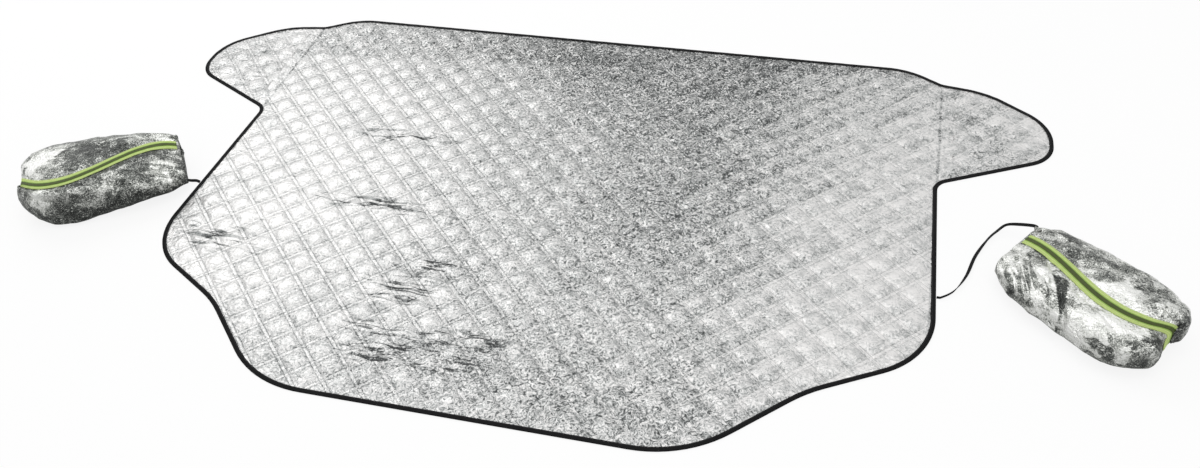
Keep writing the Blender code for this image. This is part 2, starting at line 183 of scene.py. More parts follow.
# Elastic ties
TIE_WIDTH = 0.006
TIE_THICKNESS = 0.0012
TIE_STEP = 0.004  # between points of a tie's course
RIGHT_TIE = (
    (0.73731, -0.138, 0.0033), (0.74331, -0.138, 0.0033), (0.766, -0.117, 0.0033),
    (0.786, -0.075, 0.0033), (0.801, -0.02, 0.0033), (0.822, 0.028, 0.0043),
    (0.8385, 0.0505, 0.0083), (0.853, 0.059, 0.0183), (0.8745, 0.0525, 0.0285),
    (0.897, 0.0415, 0.0385), (0.902, 0.036, 0.0395),
)
RIGHT_STANDS = (0.95, 0.9, 0.4, 0.0, 0.0, 0.45, 0.1, -0.5, -0.5)
LEFT_TIE = ((-0.73604, -0.09, 0.0033), (-0.7442, -0.0882, 0.0042), (-0.7495, -0.0958, 0.0098),
            (-0.7475, -0.1052, 0.0185), (-0.74433, -0.1108, 0.0218))
LEFT_STANDS = (0.4, 0.56, 0.87, 0.98, 0.55)

# The photo's view
LENS, SENSOR = 33.48, 36
EYE = (0.5847, -1.5819, 1.43)
EYE_TURN, EYE_DIP, EYE_ROLL = 0.3030, 0.73966, -0.07783


# Shader maths

class Value:
    """A socket of a material's tree. Its operators add Math nodes, and node adds any other node."""

    def __init__(self, tree, socket=None):
        self.tree = tree
        self.socket = socket

    def node(self, kind, settings=None, inputs=None, output=0):
        made = self.tree.nodes.new(kind)
        for name, value in (settings or {}).items():
            if name == "stops":
                fill_ramp(made.color_ramp, value)
            else:
                setattr(made, name, value)
        for name, value in (inputs or {}).items():
            if isinstance(value, Value):
                self.tree.links.new(value.socket, made.inputs[name])
            else:
                made.inputs[name].default_value = value
        return Value(self.tree, made.outputs[output])

    def maths(self, operation, *values):
        return self.node("ShaderNodeMath", {"operation": operation}, dict(enumerate(values)))

    def __add__(self, other):
        return self.maths("ADD", self, other)

    __radd__ = __add__

    def __sub__(self, other):
        return self.maths("SUBTRACT", self, other)

    def __rsub__(self, other):
        return self.maths("SUBTRACT", other, self)

    def __mul__(self, other):
        return self.maths("MULTIPLY", self, other)

    __rmul__ = __mul__

    def __truediv__(self, other):
        return self.maths("DIVIDE", self, other)

    def __abs__(self):
        return self.maths("ABSOLUTE", self)

    def sine(self):
        return self.maths("SINE", self)

    def fraction(self):
        return self.maths("FRACT", self)

    def whole(self):
        return self.maths("FLOOR", self)

    def least(self, other):
        return self.maths("MINIMUM", self, other)

    def most(self, other):
        return self.maths("MAXIMUM", self, other)

    def step(self, low, high):
        """0 below low and 1 above high, smooth between."""
        return self.node("ShaderNodeMapRange", {"interpolation_type": "SMOOTHSTEP"},
                         {"Value": self, "From Min": low, "From Max": high})

    def blend(self, low, high):
        """A colour from low, where this is 0, to high, where it is 1."""
        return self.node("ShaderNodeMix", {"data_type": "RGBA"}, {0: self, 6: low, 7: high}, output=2)


def fill_ramp(ramp, stops):
    while len(ramp.elements) > 1:
        ramp.elements.remove(ramp.elements[-1])
    ramp.elements[0].position, ramp.elements[0].color = stops[0]
    for position, colour in stops[1:]:
        ramp.elements.new(position).color = colour


def colour(red, green, blue):
    return (red, green, blue, 1)


class Finish:
    """A new material: its Principled shader's sockets, and where a point lies on the piece."""

    def __init__(self, name, metallic=0.0, shine=0.5):
        self.material = bpy.data.materials.new(name)
        self.material.use_nodes = True
        self.tree = self.material.node_tree
        self.shader = self.tree.nodes["Principled BSDF"]
        self.shader.inputs["Metallic"].default_value = metallic
        self.shader.inputs["Specular IOR Level"].default_value = shine
        self.start = Value(self.tree)

    def here(self):
        """The point in the object's own frame, as a vector and its three numbers."""
        point = self.start.node("ShaderNodeTexCoord", output=3)
        return point, *(point.node("ShaderNodeSeparateXYZ", None, {0: point}, k) for k in range(3))

    def tape_place(self):
        """Metres along and across a tape."""
        place = self.start.node("ShaderNodeUVMap", {"uv_map": "tape"})
        return place, *(place.node("ShaderNodeSeparateXYZ", None, {0: place}, k) for k in range(2))

    def painted(self, name):
        """A number that the mesh carries at each point."""
        return self.start.node("ShaderNodeAttribute", {"attribute_name": name}, output=2)

    def point(self, x, y, z=0.0):
        return self.start.node("ShaderNodeCombineXYZ", None, {0: x, 1: y, 2: z})

    def grain(self, at, scale, detail=2.0, roughness=0.5, distortion=0.0):
        return self.start.node("ShaderNodeTexNoise", None, {
            "Vector": at, "Scale": scale, "Detail": detail, "Roughness": roughness,
            "Distortion": distortion})

    def cells(self, at, scale, feature="F1", output=0):
        return self.start.node("ShaderNodeTexVoronoi", {"feature": feature},
                               {"Vector": at, "Scale": scale}, output)

    def paint(self, socket, value):
        self.tree.links.new(value.socket, self.shader.inputs[socket])

    def relief(self, height, depth, strength=1.0):
        bump = self.start.node("ShaderNodeBump", None,
                               {"Height": height, "Distance": depth, "Strength": strength})
        self.paint("Normal", bump)


# Finishes

def crinkle(finish, at, size):
    """Tiny foil facets: a number for each facet's tilt, which the finishes also paint into the colour
    as glints, and the height of its crumple.
    """
    bent = finish.grain(at, 0.6 / size, 3, 0.6, 1.2)
    facets = finish.cells(at, 1.25 / size)
    creases = finish.cells(at, 0.8 / size, "DISTANCE_TO_EDGE")
    glint = finish.grain(at, 1.0 / size, 2, 0.6, 2.6)
    height = bent * 0.7 + facets * 0.6 + creases.least(0.25) * 1.2
    return glint, height


def quilt_foil(name, centre, turn, plain):
    """Foil laminate with twin pressed lines along the lattice of its cells. Its colour carries painted
    light: wide regions of reflected light and shade, glints, pillow shading of the cells, light and
    shade along the lines and shade in the creases. plain says how strongly the lines show, from 0 to 1."""
    finish = Finish(name, 0.62)
    at, x, y, _ = finish.here()
    cos, sin = math.cos(math.pi / 4 + turn), math.sin(math.pi / 4 + turn)
    right, up = x - centre[0], y - centre[1]
    rows = ((right * cos + up * sin) / CELL, (up * cos - right * sin) / CELL)
    off = [abs((row + 0.5).fraction() - 0.5) * CELL for row in rows]
    wander = (finish.grain(at, 60, 2) - 0.5) * 0.0016
    lines = [1 - abs(abs(o + wander) - TWIN_HALF).step(0.0003, 0.0014) for o in off]
    strips = [1 - o.step(TWIN_HALF - 0.0016, TWIN_HALF - 0.0004) for o in off]
    line = lines[0].most(lines[1])
    strip = strips[0].most(strips[1])
    glint, height = crinkle(finish, at, 0.0096)
    creased_area = finish.painted("wrinkle")
    # the foil's painted light, which the mesh carries: wide regions of reflected light and shade
    tone = finish.painted("tone")
    along = finish.point(x * 15 + y * 5, y * 90, 0.0)
    folds = finish.grain(along, 1.0, 3, 0.55, 1.0)
    left = 1 - x.step(0.1, 0.4) * 0.8
    # painted shade in the creases: the fold marks darken the foil in the creased areas and beside the
    # lines where the foil is lighter, most on the left and more on the ears; they also roughen the foil
    # and lower its relief
    beside = (1 - off[1].step(0.005, 0.017)) * 0.26 + (1 - off[0].step(0.004, 0.012)) * 0.1
    beside = beside * left + (1 - plain) * 0.45
    marks = folds.step(0.5, 0.62) * (creased_area + beside * (tone * 1.6 - 0.45).most(0)).least(1)
    # painted pillow shading: the middles of the cells lighter and their edges darker, more where the foil
    # is darker
    inner = off[0].least(off[1]) / (CELL / 2)
    # painted glints: the fine crinkles lighter and darker, more where the foil is darker
    painted_glints = (glint - 0.5) * (1.85 - 1.65 * tone)
    blots = (finish.grain(at, 48, 3, 0.6).step(0.48, 0.56) - 0.5) * (1 - left) * 0.22
    patches = (finish.grain(at, 9, 3, 0.6) - 0.5) * 0.2 + blots
    cell = finish.start.node("ShaderNodeTexWhiteNoise", {"noise_dimensions": "2D"}, {
        "Vector": finish.point(rows[0].whole(), rows[1].whole())})
    # painted light and shade along the lines: right of the middle one side of each line of the second
    # family is lit and the other shaded; the lines are darker where the foil is lighter and lighter where
    # it is darker, and the strips between twin lines lighter where it is darker
    lit = ((rows[1] - 0.02) * (2 * math.pi)).sine() * -1 + strips[1]
    seen = ((tone - 0.5) * 1.5).most(-0.3).least(0.22) * left * plain
    # darker along the ear seams: the seam's own line and a band of painted shade beside it
    sewn = 1 - abs(abs(x) - SEAM_X).step(0.001, 0.0042)
    tint = (tone + painted_glints * 3.0 + patches + (cell - 0.5) * 0.14
            + (inner - 0.35) * (0.3 - tone * 0.25)
            - line * seen + strip * (0.24 - tone * 0.24) + lit * (1 - left) * 0.12
            - marks * (0.56 + creased_area * 0.34) - sewn * 0.28)
    finish.paint("Base Color", tint.node("ShaderNodeValToRGB", {"stops": (
        (0.0, colour(0.045, 0.048, 0.048)),
        (0.28, colour(0.245, 0.255, 0.252)),
        (0.55, colour(0.535, 0.54, 0.535)),
        (0.85, colour(0.76, 0.752, 0.742)),
        (1.0, colour(0.8, 0.788, 0.778)),
    )}, {0: tint * 0.8 + 0.1}))
    finish.paint("Roughness", 0.3 + glint * 0.22 + marks * 0.1)
    relief = height * 0.85 - line * 0.35 + strip * 0.2 - marks + folds * creased_area * 0.8
    finish.relief(relief, 0.0014, 0.9)
    return finish.material


def bag_foil():
    """Thin loose foil cloth: crisp crumpled pieces, creases and gathers towards the mouth. Its colour
    carries painted light: glints, pieces painted lighter or darker, highlights along the creases and
    the pleats' light and shade.
    """
    finish = Finish("Crumpled bag foil", 0.72)
    at, x, y, z = finish.here()
    glint, height = crinkle(finish, at, 0.0055)
    gathered, tone = finish.painted("wrinkle"), finish.painted("tone")
    along, aside = finish.painted("along"), finish.painted("aside")
    sway = [(finish.grain(finish.point(x, y + k, z), 55, 2) - 0.5) * 0.02 for k in (0.0, 3.0)]
    bent = finish.point(x + sway[0], y + sway[1], z)
    # each crumpled piece is painted lighter or darker, as its reflection, and stands higher or lower in
    # the relief
    shade = finish.cells(bent, 62, output=1)
    piece = shade.node("ShaderNodeSeparateXYZ", None, {0: shade})
    border = finish.cells(bent, 38, "DISTANCE_TO_EDGE")
    # painted highlights along some creases between the pieces, which also raise the relief
    crease = (1 - border.step(0.006, 0.028)) * finish.grain(at, 26, 2).step(0.44, 0.56)
    pleat = finish.grain(finish.point(along * 9, aside * 150, z * 20), 1.0, 2, 0.55, 0.6)
    # painted light and shade of the pleats near the mouth: bright pleats with dark gaps between them
    pleat_shading = (pleat.step(0.5, 0.6) - pleat.step(0.36, 0.46) * 0.9 + 0.35) * gathered
    # painted glints of the crinkles, stronger where the foil is darker
    tint = (tone + (glint - 0.5) * (2.7 - 1.9 * tone) + (piece - 0.5) * 0.26 + crease * 0.3
            + pleat_shading * 0.55)
    finish.paint("Base Color", tint.node("ShaderNodeValToRGB", {"stops": (
        (0.0, colour(0.018, 0.02, 0.018)),
        (0.27, colour(0.075, 0.08, 0.075)),
        (0.42, colour(0.2, 0.21, 0.195)),
        (0.53, colour(0.46, 0.47, 0.44)),
        (0.7, colour(0.8, 0.81, 0.78)),
        (1.0, colour(0.95, 0.95, 0.93)),
    )}, {0: tint * 0.8 + 0.1}))
    finish.paint("Roughness", 0.26 + glint * 0.2)
    finish.relief(height * 0.8 + piece * 0.5 + crease * 0.6 + pleat * gathered * 1.5, 0.0016, 1.0)
    return finish.material


def weave(along, across, pitch):
    """Height of a plain weave whose threads are pitch apart."""
    warp = (along * (math.pi / pitch)).sine()
    weft = (across * (math.pi / pitch)).sine()
    over = (warp * weft).step(-0.25, 0.25)
    return over * abs(warp) + (1 - over) * abs(weft)


def tape_finish(name, low, high, pitch, rough, shine=0.1, dashes=None):
    """A woven tape: colour from low in the weave's hollows to high on its threads. A dashed tape is
    paler towards its edges."""
    finish = Finish(name, shine=shine)
    place, along, across = finish.tape_place()
    threads = weave(along, across, pitch)
    cloud = finish.grain(place, 90, 3, 0.6)
    tint = threads * 0.55 + cloud * 0.5
    relief = threads * 0.6 + cloud * 0.3
    if dashes:
        at, length = dashes
        dash = 1 - abs(abs(across) - at).step(0.0002, 0.0006)
        dash = dash * (along / length).fraction().step(0.08, 0.2)
        tint = threads * 0.22 + cloud * 0.3 + abs(across).step(0.0052, 0.009) * 0.55 - dash * 0.3
        relief = relief + dash * 0.9
    finish.paint("Base Color", tint.blend(low, high))
    finish.paint("Roughness", rough - threads * 0.12)
    finish.relief(relief, 0.0004, 0.7)
    return finish.material


def elastic_finish():
    """Black covered elastic with ribs along it."""
    finish = Finish("Black covered elastic", shine=0.12)
    _, along, across = finish.tape_place()
    ribs = abs((across * (math.pi / 0.0009)).sine())
    knit = abs((along * (math.pi / 0.0011)).sine())
    tint = ribs * 0.5 + knit * 0.3
    finish.paint("Base Color", tint.blend(colour(0.003, 0.003, 0.003), colour(0.016, 0.016, 0.017)))
    finish.paint("Roughness", 0.75 - ribs * 0.15)
    finish.relief(ribs * 0.7 + knit * 0.4, 0.0003, 0.8)
    return finish.material


def thread_finish():
    """The round elastic inside a hem, ribbed by its covering threads. The binding's sewing thread
    has the same finish."""
    finish = Finish("Hem elastic")
    at, *_ = finish.here()
    thread = finish.grain(at, 900, 2)
    finish.paint("Base Color", thread.blend(colour(0.006, 0.006, 0.007), colour(0.035, 0.035, 0.037)))
    finish.paint("Roughness", 0.82 - thread * 0.2)
    finish.relief(thread, 0.0002, 0.6)
    return finish.material


# Mesh helpers

def put(name, data):
    """A new object in the scene."""
    made = bpy.data.objects.new(name, data)
    bpy.context.scene.collection.objects.link(made)
    return made


def dress(name, mesh, look, slot, *nodes):
    """A new piece in place of the named solids."""
    made = put(name, mesh)
    mesh.materials.append(look)
    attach(made, "root")
    if nodes:
        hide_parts(*nodes)
    return made


def thicken(made, thickness, offset):
    """Gives a sheet its thickness, inwards at offset -1 and outwards at 1."""
    wall = made.modifiers.new("wall", "SOLIDIFY")
    wall.thickness = thickness
    wall.offset = offset


def smooth(mesh):
    mesh.polygons.foreach_set("use_smooth", [True] * len(mesh.polygons))


def turn_outwards(mesh, upwards=False):
    """Makes all faces look outwards, or a sheet's faces the way that shows its highest one upwards."""
    bm = bmesh.new()
    bm.from_mesh(mesh)
    bmesh.ops.recalc_face_normals(bm, faces=bm.faces)
    if upwards and max(bm.faces, key=lambda f: f.calc_center_median().z).normal.z < 0:
        bmesh.ops.reverse_faces(bm, faces=bm.faces)
    bm.to_mesh(mesh)
    bm.free()


def distances(path):
    """How far along a path each of its points is."""
    return np.concatenate([[0], np.cumsum(np.linalg.norm(np.diff(path, axis=0), axis=1))])


def places(bm):
    return np.array([v.co[:] for v in bm.verts])


def move(bm, points):
    for vert, point in zip(bm.verts, points):
        vert.co = point


def carry(mesh, name, values):
    """Writes one number per vertex for the material."""
    layer = mesh.attributes.new(name, "FLOAT", "POINT")
    layer.data.foreach_set("value", np.ascontiguousarray(values, dtype=np.float32))


def rounded(corners, step):
    """Points of a closed polygon whose corners (x, y, radius) are arcs, counterclockwise."""
    points = []
    for i, (x, y, radius) in enumerate(corners):
        here = Vector((x, y))
        before = Vector(corners[i - 1][:2]) - here
        after = Vector(corners[(i + 1) % len(corners)][:2]) - here
        turn = math.pi - before.angle(after)
        reach = min(radius * math.tan(turn / 2), 0.49 * before.length, 0.49 * after.length)
        start = here + before.normalized() * reach
        end = here + after.normalized() * reach
        steps = max(2, round(turn / step))
        for k in range(steps + 1):
            t = k / steps
            a, b, c = (1 - t) ** 2, 2 * t * (1 - t) * math.cos(turn / 2), t ** 2
            points.append((start * a + here * b + end * c) / (a + b + c))
    return points


def cover_outline():
    mirrored = [(-x, y, radius) for x, y, radius in reversed(HALF_OUTLINE)]
    return np.array([tuple(p) for p in rounded([*HALF_OUTLINE, *mirrored], ARC_STEP)])


def depth_inside(x, y, outline):
    """How far each point is inside the outline, less than 0 outside it."""
    nearest = np.full(x.shape, 9.0)
    inside = np.zeros(x.shape, bool)
    for (ax, ay), (bx, by) in zip(outline, np.roll(outline, -1, 0)):
        dx, dy = bx - ax, by - ay
        t = np.clip(((x - ax) * dx + (y - ay) * dy) / (dx * dx + dy * dy), 0, 1)
        nearest = np.minimum(nearest, np.hypot(x - ax - t * dx, y - ay - t * dy))
        if dy:
            inside ^= ((ay > y) != (by > y)) & (x < dx * (y - ay) / dy + ax)
    return np.where(inside, nearest, -nearest)


def hills(x, y, size, seed):
    """Smooth random heights from -1 to 1, with features of about the given size."""
    table = np.random.default_rng(seed).uniform(-1, 1, (256, 256))
    gx, gy = x / size, y / size
    ix, iy = np.floor(gx).astype(int), np.floor(gy).astype(int)
    fx, fy = gx - ix, gy - iy
    fx, fy = fx * fx * (3 - 2 * fx), fy * fy * (3 - 2 * fy)
    corner = [table[(ix + a) % 256, (iy + b) % 256] for a in (0, 1) for b in (0, 1)]
    low = corner[0] * (1 - fy) + corner[1] * fy
    high = corner[2] * (1 - fy) + corner[3] * fy
    return low * (1 - fx) + high * fx


def soft_step(value, low, high):
    t = np.clip((value - low) / (high - low), 0, 1)
    return t * t * (3 - 2 * t)


def spot(x, y, at, size):
    return np.exp(-((x - at[0]) / size[0]) ** 2 - ((y - at[1]) / size[1]) ** 2)


# Quilted pieces

def pillow(away):
    """Height across a cell, from its seam, with the low strip between the twin lines."""
    strip = 0.2 * (1 - (away / TWIN_HALF) ** 2)
    rise = np.clip((away - TWIN_HALF) / (CELL / 2 - TWIN_HALF), 0, 1)
    return np.where(away < TWIN_HALF, strip, np.sin(rise * math.pi / 2) ** 0.62)


WRINKLED = (
    ((-0.64, -0.22), (0.07, 0.022)), ((-0.6, -0.25), (0.07, 0.015)), ((-0.17, -0.23), (0.07, 0.022)),
    ((-0.1, -0.4), (0.1, 0.02)), ((-0.12, -0.45), (0.12, 0.02)), ((-0.36, -0.085), (0.1, 0.018)),
    ((-0.3, -0.1), (0.06, 0.014)), ((-0.35, 0.13), (0.1, 0.022)), ((-0.2, -0.31), (0.07, 0.04)),
    ((-0.212, -0.401), (0.05, 0.014)), ((-0.193, -0.469), (0.05, 0.014)),
    ((-0.07, -0.455), (0.05, 0.014)), ((-0.026, -0.4), (0.05, 0.014)),
)


def wrinkles(x, y):
    """Where the foil is creased into short ripples across the cover."""
    total = sum(spot(x, y, at, size) for at, size in WRINKLED)
    return np.clip(total, 0, 1)


def panel_painted_light(x, y):
    """Painted light on the foil: light at the left, darker right of the middle and along the top and
    bottom edges."""
    off = x - (0.25 - 0.3 * np.maximum(0, y - 0.1))
    wide = np.where(off < 0, 0.42, 0.2 + 0.5 * np.maximum(0, y))
    middle = (0.44 + 0.33 * y) * np.exp(-(off / wide) ** 2)
    far = y - 0.1 * x
    top = 0.1 * soft_step(far, 0.3, 0.42) + 0.2 * soft_step(far, 0.452, 0.472)
    bottom = 0.14 * soft_step(-y, 0.3, 0.5) * (1 - 0.2 * soft_step(x, 0, 0.2))
    return np.clip(0.8 - middle - top - bottom + 0.05 * hills(x, y, 0.12, 5), 0.05, 1)


def quilt_piece(name, node, centre, turn, low, high, tone, plain):
    """One quilted piece between low and high: puffed cells on top, flat below, thin under the
    binding. centre and turn place the lattice of its cells."""
    reach = math.hypot(high[0] - low[0], high[1] - low[1]) / 2 / CELL
    middle = ((low[0] + high[0]) / 2 - centre[0], (low[1] + high[1]) / 2 - centre[1])
    count = math.ceil(reach + math.hypot(*middle) / CELL) + 1
    steps = np.array([k + cut for k in range(-count, count) for cut in CUTS])
    u, v = np.meshgrid(steps, steps, indexing="ij")
    cos, sin = math.cos(math.pi / 4 + turn), math.sin(math.pi / 4 + turn)
    x = centre[0] + CELL * (u * cos - v * sin)
    y = centre[1] + CELL * (u * sin + v * cos)
    wanted = (x > low[0] - CELL) & (x < high[0] + CELL) & (y > low[1] - CELL) & (y < high[1] + CELL)
    deep = np.full(x.shape, -1.0)
    deep[wanted] = depth_inside(x[wanted], y[wanted], OUTLINE)
    x, seam = snap_to_seam(x, low[0], high[0])
    use = (deep > 0.0018) & (x >= low[0]) & (x <= high[0]) & (y > low[1]) & (y < high[1])
    amount = np.random.default_rng(11).uniform(0.75, 1.0, (2 * count + 1, 2 * count + 1))
    cell_u, cell_v = np.floor(u).astype(int) + count, np.floor(v).astype(int) + count
    puff = pillow(np.abs(u - np.round(u)) * CELL) * pillow(np.abs(v - np.round(v)) * CELL)
    fade = soft_step(deep, TAPE_WIDTH, TAPE_WIDTH + EDGE_FADE) * soft_step(seam, 0, 0.02)
    rough = 0.35 * hills(x, y, 0.011, 2) + 0.25 * hills(x, y, 0.0061, 3)
    creased_area = wrinkles(x, y)
    ripple = creased_area * hills(x * 0.2, y, 0.008, 9)
    body = STITCH_HEIGHT + PUFF_HEIGHT * fade * np.clip(puff * amount[cell_u, cell_v], 0, 1)
    body += fade * (0.0007 * rough * np.sqrt(puff) + 0.0011 * ripple)
    z = np.where(deep < TAPE_WIDTH + 0.0005, LIP_HEIGHT, np.maximum(body, LIP_HEIGHT))
    index = np.full(x.shape, -1)
    index[use] = np.arange(use.sum())
    corners = np.stack([index[:-1, :-1], index[1:, :-1], index[1:, 1:], index[:-1, 1:]], -1)
    faces = corners[(corners >= 0).all(-1)]
    mesh = bpy.data.meshes.new(name)
    mesh.from_pydata(np.stack([x[use], y[use], z[use]], -1).tolist(), [], faces.tolist())
    carry(mesh, "tone", tone(x[use], y[use]))
    carry(mesh, "wrinkle", creased_area[use])
    close_below(mesh)
    smooth(mesh)
    look = quilt_foil(f"Quilted foil of {name}", centre, turn, plain)
    return dress(name, mesh, look, "foil_quilt", node)


def snap_to_seam(x, low, high):
    """Moves the points next to a seam onto it, and says how far every point is from the seams."""
    for edge in (low, high):
        if abs(abs(edge) - SEAM_X) < 0.002:
            x = np.where(np.abs(x - edge) < 0.0035, edge, x)
    return x, np.minimum(np.abs(x - SEAM_X), np.abs(x + SEAM_X))


def close_below(mesh):
    """Drops a wall from the sheet's edge and closes the underside."""
    bm = bmesh.new()
    bm.from_mesh(mesh)
    loose = [v for v in bm.verts if not v.link_faces]
    bmesh.ops.delete(bm, geom=loose, context="VERTS")
    wall = bmesh.ops.extrude_edge_only(bm, edges=[e for e in bm.edges if e.is_boundary])["geom"]
    for part in wall:
        if isinstance(part, bmesh.types.BMVert):
            part.co.z = UNDERSIDE
    bmesh.ops.holes_fill(bm, edges=[e for e in bm.edges if e.is_boundary])
    bmesh.ops.recalc_face_normals(bm, faces=bm.faces)
    bm.to_mesh(mesh)
    bm.free()


# Swept tapes

def swept(name, path, section, closed, frames):
    """A mesh of a section swept along a path, with metres along and across as its tape map."""
    count, ring = len(path), len(section)
    along, girth = distances(path), distances(section)
    side, up = frames
    points = (path[:, None, :] + side[:, None, :] * section[None, :, 0:1]
              + up[:, None, :] * section[None, :, 1:2])
    faces, marks = [], []
    loops = count if closed else count - 1
    for i in range(loops):
        j = (i + 1) % count
        far = along[j] if j else along[i] + np.linalg.norm(path[0] - path[-1])
        for k in range(ring):
            m = (k + 1) % ring
            faces.append((i * ring + k, j * ring + k, j * ring + m, i * ring + m))
            wide = girth[m] if m else girth[-1] + np.linalg.norm(section[0] - section[-1])
            marks += [(along[i], girth[k]), (far, girth[k]), (far, wide), (along[i], wide)]
    if not closed:
        faces += [tuple(range(ring)), tuple(range((count - 1) * ring, count * ring))[::-1]]
        marks += [(0, g) for g in girth] + [(along[-1], g) for g in girth]
    mesh = bpy.data.meshes.new(name)
    mesh.from_pydata(points.reshape(-1, 3).tolist(), [], faces)
    layer = mesh.uv_layers.new(name="tape")
    layer.data.foreach_set("uv", np.array(marks, dtype=np.float32).ravel())
    turn_outwards(mesh)
    smooth(mesh)
    return mesh


def round_edge(spacing, height):
    """Points round the cover's edge, a spacing apart, with the directions ahead and inwards."""
    line = np.vstack([OUTLINE, OUTLINE[:1]])
    far = distances(line)
    at = np.linspace(0, far[-1], round(far[-1] / spacing), endpoint=False)
    path = np.stack([*(np.interp(at, far, line[:, k]) for k in (0, 1)), np.full(len(at), height)], -1)
    ahead = turning(path, True)
    side = np.stack([-ahead[:, 1], ahead[:, 0], np.zeros(len(path))], -1)
    return path, ahead, side


def turning(path, closed):
    """Unit directions along a path."""
    ahead = np.roll(path, -1, 0) - np.roll(path, 1, 0)
    if not closed:
        ahead[0], ahead[-1] = path[1] - path[0], path[-1] - path[-2]
    return ahead / np.linalg.norm(ahead, axis=1, keepdims=True)


def binding(look):
    """The folded tape round the edge: rounded at its fold, with small puckers along its top."""
    path, _, side = round_edge(0.0045, 0.0)
    up = np.tile([0.0, 0.0, 1.0], (len(path), 1))
    half, soft, top = BINDING_HEIGHT / 2, TAPE_WIDTH - TAPE_SOFTNESS, BINDING_HEIGHT
    outer = [(half - half * math.cos(a), half + half * math.sin(a))
             for a in np.linspace(-math.pi / 2, math.pi / 2, 9)]
    gap = half - TAPE_THICKNESS
    inner = [(half - gap * math.cos(a), half + gap * math.sin(a))
             for a in np.linspace(math.pi / 2, -math.pi / 2, 5)]
    middle = (TAPE_WIDTH + half) / 2
    section = [*outer, (middle, top), (soft, top - 0.0001), (TAPE_WIDTH, top - TAPE_SOFTNESS),
               (soft, top - TAPE_THICKNESS), *inner, (soft, TAPE_THICKNESS),
               (TAPE_WIDTH, TAPE_SOFTNESS), (soft, 0)]
    mesh = swept("bound_edge", path, np.array(section), True, (side, up))
    pucker_top(mesh)
    return dress("bound_edge", mesh, look, "binding_tape", "edge_binding")


def pucker_top(mesh):
    """Lifts and lowers the tape's top a little along its length, as sewing does."""
    points = np.empty(len(mesh.vertices) * 3)
    mesh.vertices.foreach_get("co", points)
    points = points.reshape(-1, 3)
    top = points[:, 2] > BINDING_HEIGHT / 2 + 0.0002
    lift = 0.00022 * hills(points[:, 0], points[:, 1], 0.008, 21)
    points[top, 2] += lift[top]
    mesh.vertices.foreach_set("co", points.ravel())


def binding_stitches(look):
    """Thread stitches along the tape's inner edge."""
    path, ahead, side = round_edge(THREAD_PITCH, BINDING_HEIGHT)
    middle = path + side * THREAD_INSET
    points, faces = [], []
    shape = [(a, b, c) for a in (-1, 1) for b in (-1, 1) for c in (0, 1)]
    for here, way, out in zip(middle, ahead, side):
        base = len(points)
        for a, b, c in shape:
            points.append(here + way * 0.0015 * a * (1 - 0.3 * c) + out * 0.00028 * b
                          + np.array([0, 0, 0.0003 * c - 0.00005]))
        faces += [(base + i, base + j, base + k, base + m)
                  for i, j, k, m in ((1, 5, 7, 3), (0, 1, 3, 2), (4, 6, 7, 5), (0, 4, 5, 1), (2, 3, 7, 6))]
    mesh = bpy.data.meshes.new("binding_stitches")
    mesh.from_pydata([tuple(p) for p in points], [], faces)
    return dress("binding_stitches", mesh, look, "binding_tape")


# Mirror bags

def tape_course(lie, t):
    """How far a bag's tape lies off the middle, from the mouth at 0 to the closed end at 1."""
    at_mouth, leaving, coming, at_end = lie["drift"]
    return (at_mouth * (1 - t) ** 3 + 3 * leaving * t * (1 - t) ** 2
            + 3 * coming * t ** 2 * (1 - t) + at_end * t ** 3)


def bag_points(lie, around, ring):
    """Points of a bag's outer surface. around goes round the bag lengthwise, from the closed end over
    the top, and ring across it, from the middle to a side."""
    reach = lie["length"] / (1 + MOUTH_LAG)
    valley = BAND_WIDTH / 2 + VALLEY_CLEARANCE
    away = np.abs(ring)
    beyond = np.maximum(0, (away - 1) / (BAG_RINGS / 2 - 1)) * math.pi / 2
    slim = np.maximum(0, np.cos(beyond)) ** SIDE_FULLNESS
    lobe = soft_step(away, 0.9, 2.1)
    forward, upward = np.cos(around), np.sin(around)
    x = reach * (MOUTH_LAG + forward * slim) + LOBE_LENGTH * lobe * slim * np.maximum(0, forward) ** 2
    t = np.clip(x / lie["length"], 0, 1)
    half = lie["width"] / 2 * (1 + END_SPREAD * t ** 2)
    y = valley * np.minimum(1, away) + (half - valley) * np.sin(beyond)
    lift = np.sign(upward) * np.abs(upward) ** TOP_FULLNESS * slim
    z = lift * (lie["height"] / 2 - LOBE_RISE + LOBE_RISE * lobe)
    pleat = np.maximum(0, 1 - np.maximum(0, x) / GATHER_LENGTH) * lobe * slim ** 2
    z += np.sign(upward) * GATHER_DEPTH * pleat * -np.cos(math.pi * away)
    z = (z + lie["height"] / 2) * (1 - MOUTH_FLATNESS * (1 - t) ** 2)
    drift = tape_course(lie, t)
    here = np.minimum(1, np.abs(x / reach - MOUTH_LAG)) ** (1 / SIDE_FULLNESS)
    wide = valley + (half - valley) * np.sqrt(np.maximum(0, 1 - here ** 2))
    y = np.copysign(y, ring) + drift * np.maximum(0, 1 - (y / np.maximum(wide, 1e-6)) ** 2)
    return np.stack([x, y, z], -1)


